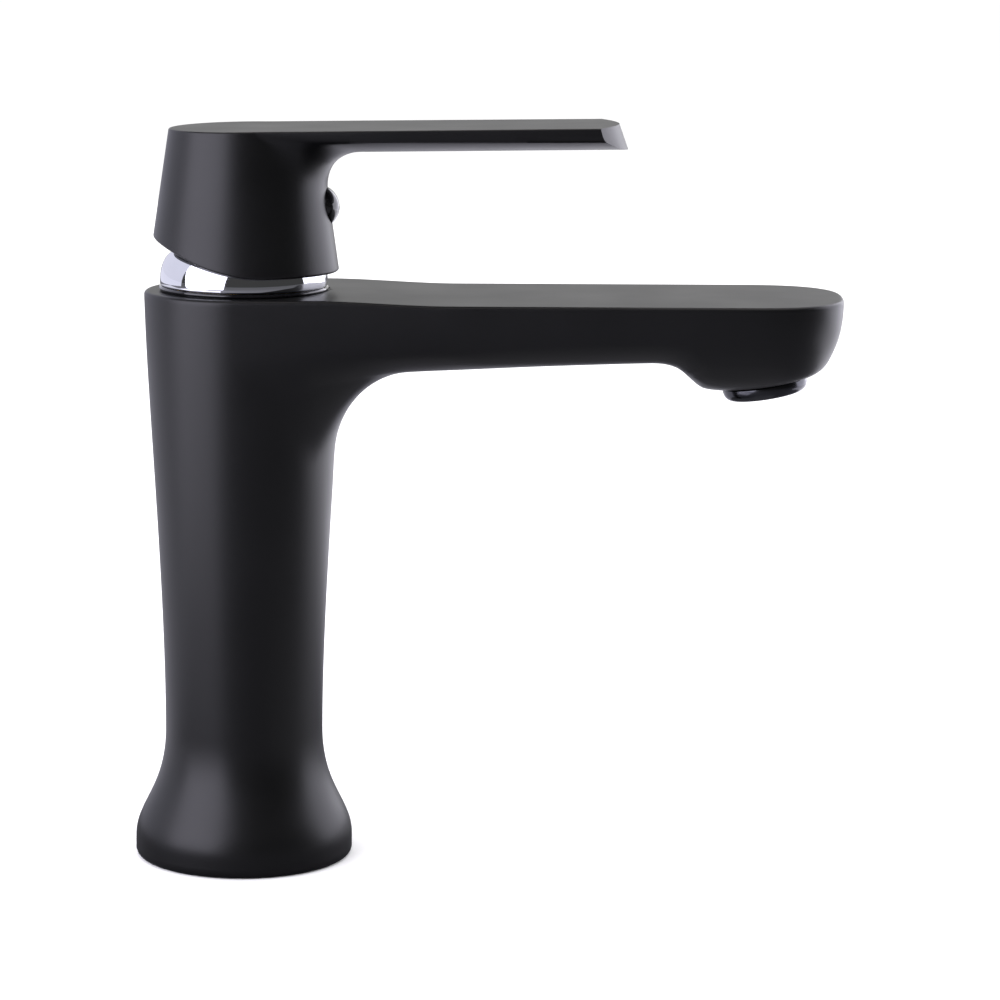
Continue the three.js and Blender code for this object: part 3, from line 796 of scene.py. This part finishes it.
def fine_grain():
    tree, given, result = effect(
        "Fine grain", [("Vector", (0, 0, 0)), ("Scale", 1500.0), ("Coarse share", 0.3)],
        [("Height", "NodeSocketFloat")])
    fine = noise(tree, given.outputs["Vector"], given.outputs["Scale"], 2)
    wider = tree.nodes.new("ShaderNodeMath")
    wider.operation = "MULTIPLY"
    wider.inputs[1].default_value = COARSER
    tree.links.new(given.outputs["Scale"], wider.inputs[0])
    coarse = noise(tree, given.outputs["Vector"], wider.outputs[0], 1)
    blend = tree.nodes.new("ShaderNodeMix")
    tree.links.new(given.outputs["Coarse share"], blend.inputs["Factor"])
    tree.links.new(fine, blend.inputs["A"])
    tree.links.new(coarse, blend.inputs["B"])
    tree.links.new(blend.outputs["Result"], result.inputs["Height"])
    return tree


GRAIN = fine_grain()
print("effect:", GRAIN.name)


# %% A coat that drifts in colour and gloss
def unevenness():
    tree, given, result = effect(
        "Uneven coat", [("Vector", (0, 0, 0)), ("Scale", 60.0), ("Colour low", (0, 0, 0, 1)),
                        ("Colour high", (0, 0, 0, 1)), ("Rough low", 0.4), ("Rough high", 0.5)],
        [("Colour", "NodeSocketColor"), ("Roughness", "NodeSocketFloat")])
    patches = noise(tree, given.outputs["Vector"], given.outputs["Scale"], 3)
    spread = tree.nodes.new("ShaderNodeMapRange")
    spread.inputs["From Min"].default_value = 0.3
    spread.inputs["From Max"].default_value = 0.7
    tree.links.new(patches, spread.inputs["Value"])
    colour = tree.nodes.new("ShaderNodeMix")
    colour.data_type = "RGBA"
    tree.links.new(spread.outputs["Result"], colour.inputs["Factor"])
    tree.links.new(given.outputs["Colour low"], colour.inputs["A"])
    tree.links.new(given.outputs["Colour high"], colour.inputs["B"])
    rough = tree.nodes.new("ShaderNodeMix")
    tree.links.new(spread.outputs["Result"], rough.inputs["Factor"])
    tree.links.new(given.outputs["Rough low"], rough.inputs["A"])
    tree.links.new(given.outputs["Rough high"], rough.inputs["B"])
    tree.links.new(colour.outputs["Result"], result.inputs["Colour"])
    tree.links.new(rough.outputs["Result"], result.inputs["Roughness"])
    return tree


UNEVEN = unevenness()
print("effect:", UNEVEN.name)


# %% Marks that a turning tool leaves
def tool_marks():
    tree, given, result = effect("Tool marks", [("Vector", (0, 0, 0)), ("Scale", 400.0)],
                                 [("Height", "NodeSocketFloat")])
    wave = tree.nodes.new("ShaderNodeTexWave")
    wave.bands_direction = "Z"
    wave.inputs["Distortion"].default_value = 0.4
    tree.links.new(given.outputs["Vector"], wave.inputs["Vector"])
    tree.links.new(given.outputs["Scale"], wave.inputs["Scale"])
    tree.links.new(wave.outputs["Fac"], result.inputs["Height"])
    return tree


MARKS = tool_marks()
print("effect:", MARKS.name)


# %% A finish from a colour, a gloss and a relief
COAT_ROUGH = 0.08


def finish(name, low, high, rough, metallic=0.0, patch=60, relief=GRAIN, scale=1500, height=0.004,
           coat=0.0, specular=0.5):
    """low and high are the colours it drifts between, rough its two roughnesses, height in mm."""
    material = bpy.data.materials.new(name)
    material.use_nodes = True
    tree = material.node_tree
    shader = tree.nodes["Principled BSDF"]
    shader.inputs["Metallic"].default_value = metallic
    shader.inputs["Coat Weight"].default_value = coat
    shader.inputs["Coat Roughness"].default_value = COAT_ROUGH
    shader.inputs["Specular IOR Level"].default_value = specular
    place = tree.nodes.new("ShaderNodeTexCoord")
    uneven = tree.nodes.new("ShaderNodeGroup")
    uneven.node_tree = UNEVEN
    values = {"Scale": patch, "Colour low": (*low, 1), "Colour high": (*high, 1),
              "Rough low": rough[0], "Rough high": rough[1]}
    for label, value in values.items():
        uneven.inputs[label].default_value = value
    surface = tree.nodes.new("ShaderNodeGroup")
    surface.node_tree = relief
    surface.inputs["Scale"].default_value = scale
    bump = tree.nodes.new("ShaderNodeBump")
    bump.inputs["Distance"].default_value = height * MM
    bump.inputs["Strength"].default_value = 1.0
    tree.links.new(place.outputs["Object"], uneven.inputs["Vector"])
    tree.links.new(place.outputs["Object"], surface.inputs["Vector"])
    tree.links.new(uneven.outputs["Colour"], shader.inputs["Base Color"])
    tree.links.new(uneven.outputs["Roughness"], shader.inputs["Roughness"])
    tree.links.new(surface.outputs["Height"], bump.inputs["Height"])
    tree.links.new(bump.outputs["Normal"], shader.inputs["Normal"])
    return material


# %% [markdown]
# The black of the castings is a satin powder coat: nearly no colour of its own, broad soft
# highlights and a grain that is felt more than seen. Gloss black and chrome are smooth, so their
# unevenness is kept very small. Cast and turned metals drift a little in colour.

# %% The finishes of this tap
finishes = {
    "matte_black": finish("Satin black powder coat", (0.0024, 0.0024, 0.0028),
                          (0.0034, 0.0034, 0.0040), (0.36, 0.40), patch=45, scale=2600,
                          height=0.006),
    "gloss_black": finish("Gloss black", (0.004, 0.004, 0.005), (0.006, 0.006, 0.007), (0.05, 0.09),
                          patch=150, scale=700, height=0.0006, coat=0.6),
    "chrome": finish("Polished chrome", (0.80, 0.81, 0.84), (0.86, 0.87, 0.90), (0.03, 0.06), 1.0,
                     patch=90, scale=500, height=0.0006),
    "dark_chrome": finish("Dark chrome", (0.055, 0.056, 0.064), (0.085, 0.086, 0.095),
                          (0.14, 0.2), 1.0, patch=200, relief=MARKS, scale=900, height=0.0008),
    "brass": finish("Turned brass", (0.52, 0.34, 0.12), (0.62, 0.43, 0.17), (0.26, 0.36), 1.0,
                    patch=180, relief=MARKS, scale=500, height=0.004),
    "steel": finish("Drawn steel", (0.42, 0.43, 0.45), (0.52, 0.53, 0.55), (0.22, 0.32), 1.0,
                    patch=220, relief=MARKS, scale=700, height=0.002),
    "rubber": finish("Moulded rubber", (0.010, 0.010, 0.010), (0.020, 0.020, 0.021), (0.68, 0.82),
                     patch=260, scale=1400, height=0.015, specular=0.3),
    "ceramic": finish("Lapped ceramic", (0.78, 0.76, 0.70), (0.86, 0.84, 0.79), (0.12, 0.2),
                      patch=400, scale=3000, height=0.001),
    "white_plastic": finish("White plastic", (0.72, 0.72, 0.70), (0.80, 0.80, 0.78), (0.34, 0.44),
                            patch=120, scale=1100, height=0.008),
    "grey_plastic": finish("Grey plastic", (0.20, 0.21, 0.23), (0.26, 0.27, 0.29), (0.36, 0.46),
                           patch=160, scale=1100, height=0.008),
    "blue_plastic": finish("Blue plastic", (0.035, 0.10, 0.27), (0.050, 0.13, 0.33), (0.36, 0.46),
                           patch=140, scale=1100, height=0.008),
}
print(len(finishes), "finishes")

# %% [markdown]
# ## Who carries what
#
# A new piece stands for its CAD node, rides on the body that the node rides on, and names the
# material slot of the record. The other nodes only get their finish.

# %% New pieces
for piece, node, carrier, slot in (
        (body, "body_casting", "body", "matte_black"),
        (handle, "handle", "lever", "matte_black"),
        (cover_ring, "cover_ring", "body", "chrome"),
        (ring_gasket, "ring_gasket", "body", "gloss_black"),
        (index_plug, "index_plug", "lever", "gloss_black"),
        (collar, "aerator_housing", "body", "dark_chrome"),
        (insert, "aerator_insert", "body", "grey_plastic"),
        (base_gasket, "base_gasket", "body", "rubber")):
    piece.data.materials.clear()
    piece.data.materials.append(finishes[slot])
    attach(piece, carrier)
    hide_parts(node)
    print(piece.name, "stands for", node)

# %% CAD nodes that stay
kept_nodes = {
    "hot_inlet_seal": "rubber", "cold_inlet_seal": "rubber", "cartridge_base": "blue_plastic",
    "fixed_disc": "ceramic", "moving_disc": "ceramic", "disc_carrier": "white_plastic",
    "cartridge_housing": "white_plastic", "cartridge_seal": "rubber",
    "turning_sleeve": "grey_plastic", "temperature_stop_ring": "blue_plastic",
    "lever_pin": "steel", "spindle": "brass", "clamp_nut": "brass", "grub_screw": "steel",
    "aerator_screen": "steel", "aerator_washer": "rubber",
}
for name, slot in kept_nodes.items():
    for place in nodes[name].material_slots:
        place.material = finishes[slot]
print(len(kept_nodes), "nodes keep their CAD shape")

# %% [markdown]
# ## Camera
#
# A long lens a little above the spout looks square at the side of the tap, so that its upright
# lines stay nearly parallel. The camera's own axes are worked out from three small angles.

# %% Camera
LOOK_AT = Vector((61.2, 0, 87.59)) * MM
DISTANCE, LENS, SENSOR = 0.86, 129.717, 36
DOWN, SIDE, ROLL = (math.radians(a) for a in (10.26, 1.5, -0.7))
forward = Vector((-math.sin(SIDE) * math.cos(DOWN), math.cos(SIDE) * math.cos(DOWN),
                  -math.sin(DOWN)))
right = Vector((math.cos(SIDE), math.sin(SIDE), 0))
up = right.cross(forward)
rolled_right = right * math.cos(ROLL) - up * math.sin(ROLL)
rolled_up = right * math.sin(ROLL) + up * math.cos(ROLL)
camera_data = bpy.data.cameras.new("side_camera")
camera_data.lens, camera_data.sensor_width = LENS, SENSOR
camera = bpy.data.objects.new("side_camera", camera_data)
axes = Matrix((rolled_right, rolled_up, -forward)).transposed().to_4x4()
camera.matrix_world = Matrix.Translation(LOOK_AT - forward * DISTANCE) @ axes
scene.collection.objects.link(camera)
scene.camera = camera
print("camera at", [round(v, 3) for v in camera.matrix_world.translation])

# %% [markdown]
# ## Floor and light
#
# Black shows only what it reflects. A softbox on the left draws the broad highlight down the
# column, and one behind on the right draws the thin bright edge. Two paler walls behind and a
# softbox overhead light the far sides and the flat tops. The floor and the room look white to the
# camera, but they are dark to every other ray, because a white room would wash the black out.

# %% Floor
FLOOR_HALF, FLOOR_ROUGH = 12, 0.9
FLOOR_SEEN, FLOOR_REFLECTED = (0.93, 0.93, 0.93, 1), (0.11, 0.11, 0.12, 1)
floor_bm = bmesh.new()
bmesh.ops.create_grid(floor_bm, x_segments=1, y_segments=1, size=FLOOR_HALF)
floor = new_object("floor", floor_bm)
floor_look = bpy.data.materials.new("Pale floor")
floor_look.use_nodes = True
tree = floor_look.node_tree
shader = tree.nodes["Principled BSDF"]
shader.inputs["Roughness"].default_value = FLOOR_ROUGH
shader.inputs["Specular IOR Level"].default_value = 0.0
path = tree.nodes.new("ShaderNodeLightPath")
shade = tree.nodes.new("ShaderNodeMix")
shade.data_type = "RGBA"
shade.inputs["A"].default_value = FLOOR_REFLECTED
shade.inputs["B"].default_value = FLOOR_SEEN
tree.links.new(path.outputs["Is Camera Ray"], shade.inputs["Factor"])
tree.links.new(shade.outputs["Result"], shader.inputs["Base Color"])
floor.data.materials.append(floor_look)
print("floor:", 2 * FLOOR_HALF, "m across")


# %% Softboxes
AIM_X, AIM_Z = 0.05, 0.1


def lamp(name, width, height, glow, tint):
    """A rectangle that glows; the camera doesn't see it, but the finishes reflect it."""
    data = bpy.data.lights.new(name, "AREA")
    data.shape, data.size, data.size_y = "RECTANGLE", width, height
    data.energy = glow * math.pi * width * height
    data.color = tint
    light = bpy.data.objects.new(name, data)
    light.visible_camera = False
    scene.collection.objects.link(light)
    print(name, round(data.energy, 3), "W")
    return light


def softbox(name, around, above, distance, width, height, glow, tint=(1, 1, 1)):
    """around is measured from the camera's side, to the right; glow is its brightness."""
    around, above = math.radians(around), math.radians(above)
    away = Vector((math.sin(around) * math.cos(above), -math.cos(around) * math.cos(above),
                   math.sin(above)))
    light = lamp(name, width, height, glow, tint)
    light.location = Vector((AIM_X, 0, AIM_Z)) + away * distance
    light.rotation_euler = away.to_track_quat("Z", "Y").to_euler()


softbox("left_softbox", -53, 19, 0.66, 0.74, 0.62, 3.1, (0.88, 0.86, 1.0))
softbox("left_wall", -124, 18, 0.95, 1.40, 0.80, 0.85, (0.84, 0.84, 1.0))
softbox("right_softbox", 126, 18, 0.66, 0.82, 0.62, 2.4, (0.90, 0.89, 1.0))
softbox("back_wall", 172, 12, 1.5, 1.5, 0.8, 0.8)
softbox("top_softbox", 180, 80, 1.4, 1.5, 1.5, 0.85, (1.0, 0.94, 0.95))


# %% [markdown]
# A softbox lights nothing that faces down. So lit boards lie on the table, and the underside of the
# spout and the lower half of the foot reflect them.

# %% Lit boards on the table
BOARD_Z = 0.003


def board(name, around, near, far, width, glow, tint=(1, 1, 1)):
    """A lit board that lies beside the tap and throws light up at it."""
    around = math.radians(around)
    middle = (near + far) / 2
    light = lamp(name, width, far - near, glow, tint)
    light.location = (AIM_X + math.sin(around) * middle, -math.cos(around) * middle, BOARD_Z)
    light.rotation_euler = (math.pi, 0, -around)


board("left_board", -64, 0.25, 0.80, 0.38, 1.7, (0.90, 0.88, 1.0))
board("left_back_board", -128, 0.15, 0.9, 0.8, 0.65, (0.88, 0.87, 1.0))
board("right_board", 138, 0.16, 0.90, 0.56, 1.7, (0.93, 0.92, 1.0))
board("board_below", 70, 0.0, 0.12, 0.16, 0.12)

# %% The room
ROOM_GLOW, ROOM_REFLECTED = 1.1, 0.05
world = bpy.data.worlds.new("studio")
world.use_nodes = True
scene.world = world
tree = world.node_tree
background = tree.nodes["Background"]
background.inputs["Color"].default_value = (1, 1, 1, 1)
path = tree.nodes.new("ShaderNodeLightPath")
level = tree.nodes.new("ShaderNodeMix")
level.inputs["A"].default_value = ROOM_GLOW
level.inputs["B"].default_value = ROOM_REFLECTED
tree.links.new(path.outputs["Is Glossy Ray"], level.inputs["Factor"])
tree.links.new(level.outputs["Result"], background.inputs["Strength"])
scene.view_settings.view_transform = "Standard"
print("room:", world.name)
